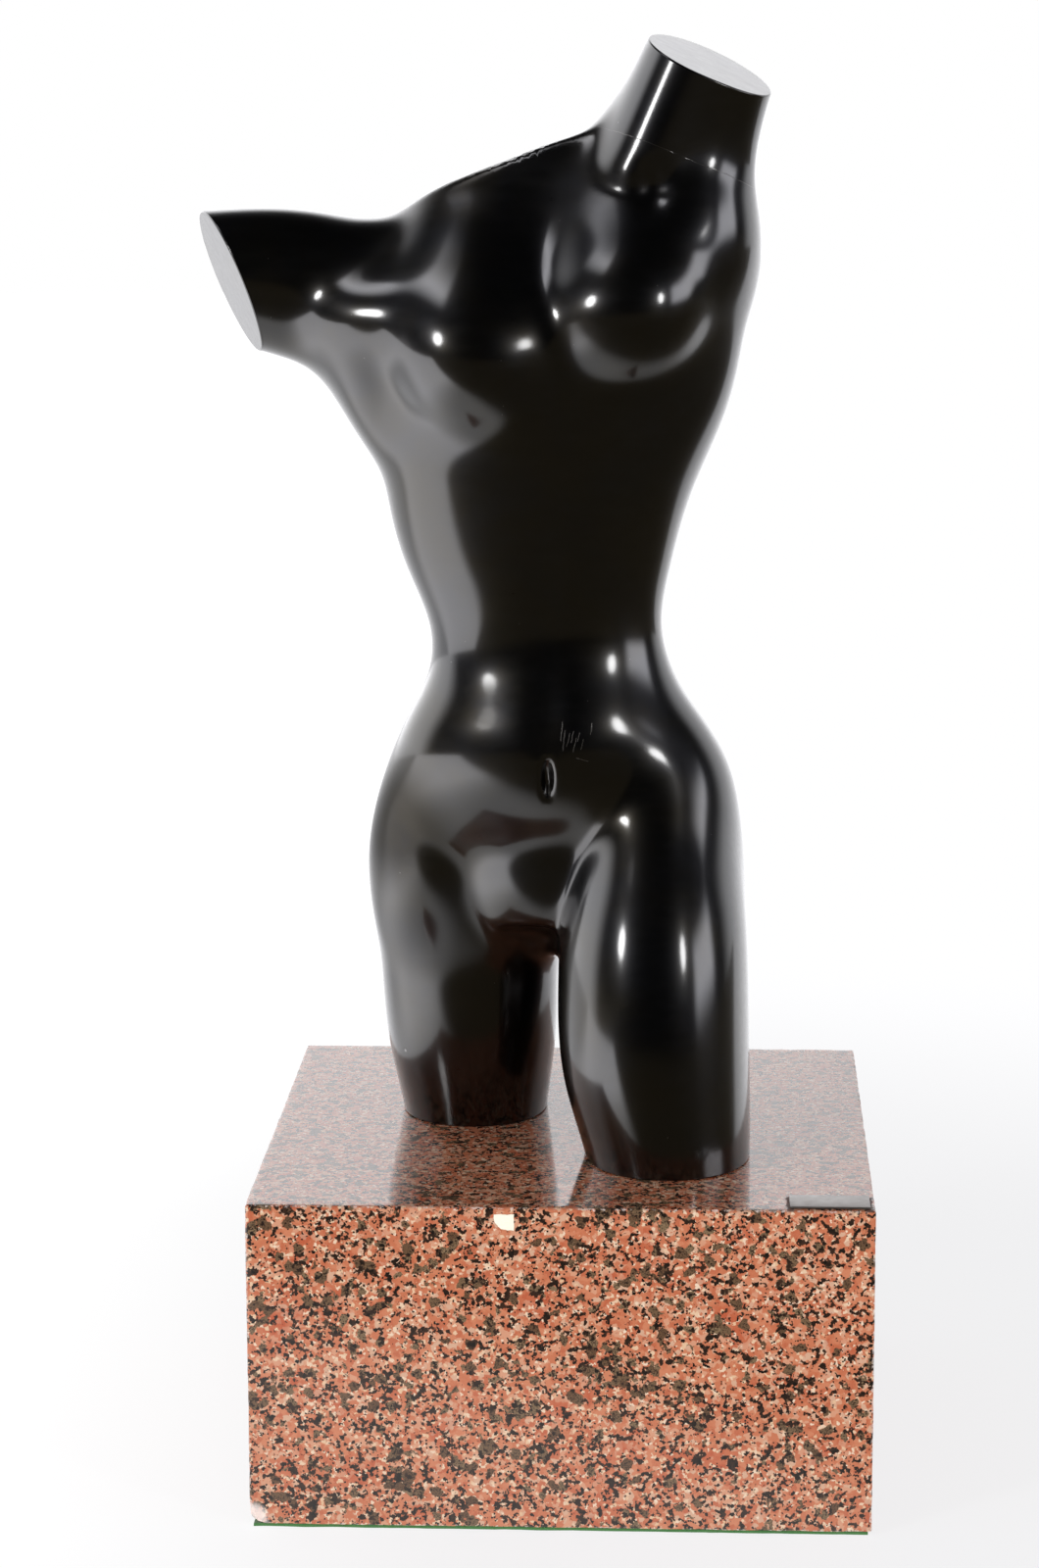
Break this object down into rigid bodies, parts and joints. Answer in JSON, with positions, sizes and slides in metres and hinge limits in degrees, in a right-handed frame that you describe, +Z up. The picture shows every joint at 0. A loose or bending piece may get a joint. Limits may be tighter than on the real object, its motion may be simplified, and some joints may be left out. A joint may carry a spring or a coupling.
{
  "type": "bronze torso sculpture",
  "caption": "Black patinated bronze torso of a standing woman, cut off at neck, arms and thighs, on a square block of polished red granite.",
  "frame": {"origin": "centre of the block's underside, on the face of its felt pad", "axes": "+Z up through the figure, -Y out of the block's front face, the way the figure faces"},
  "size_m": [0.4446, 0.4, 0.9454],
  "materials": {
    "bronze": "cast bronze with a black patina, polished glossy, bright at the cut faces",
    "granite": "polished salmon red granite with black and grey grains",
    "felt": "green wool felt",
    "plate_metal": "grey, finely brushed"
  },
  "bodies": {
    "root": {"torso": "bronze", "plinth": "granite", "felt_pad": "felt", "blank_plate": "plate_metal"}
  },
  "joints": []
}
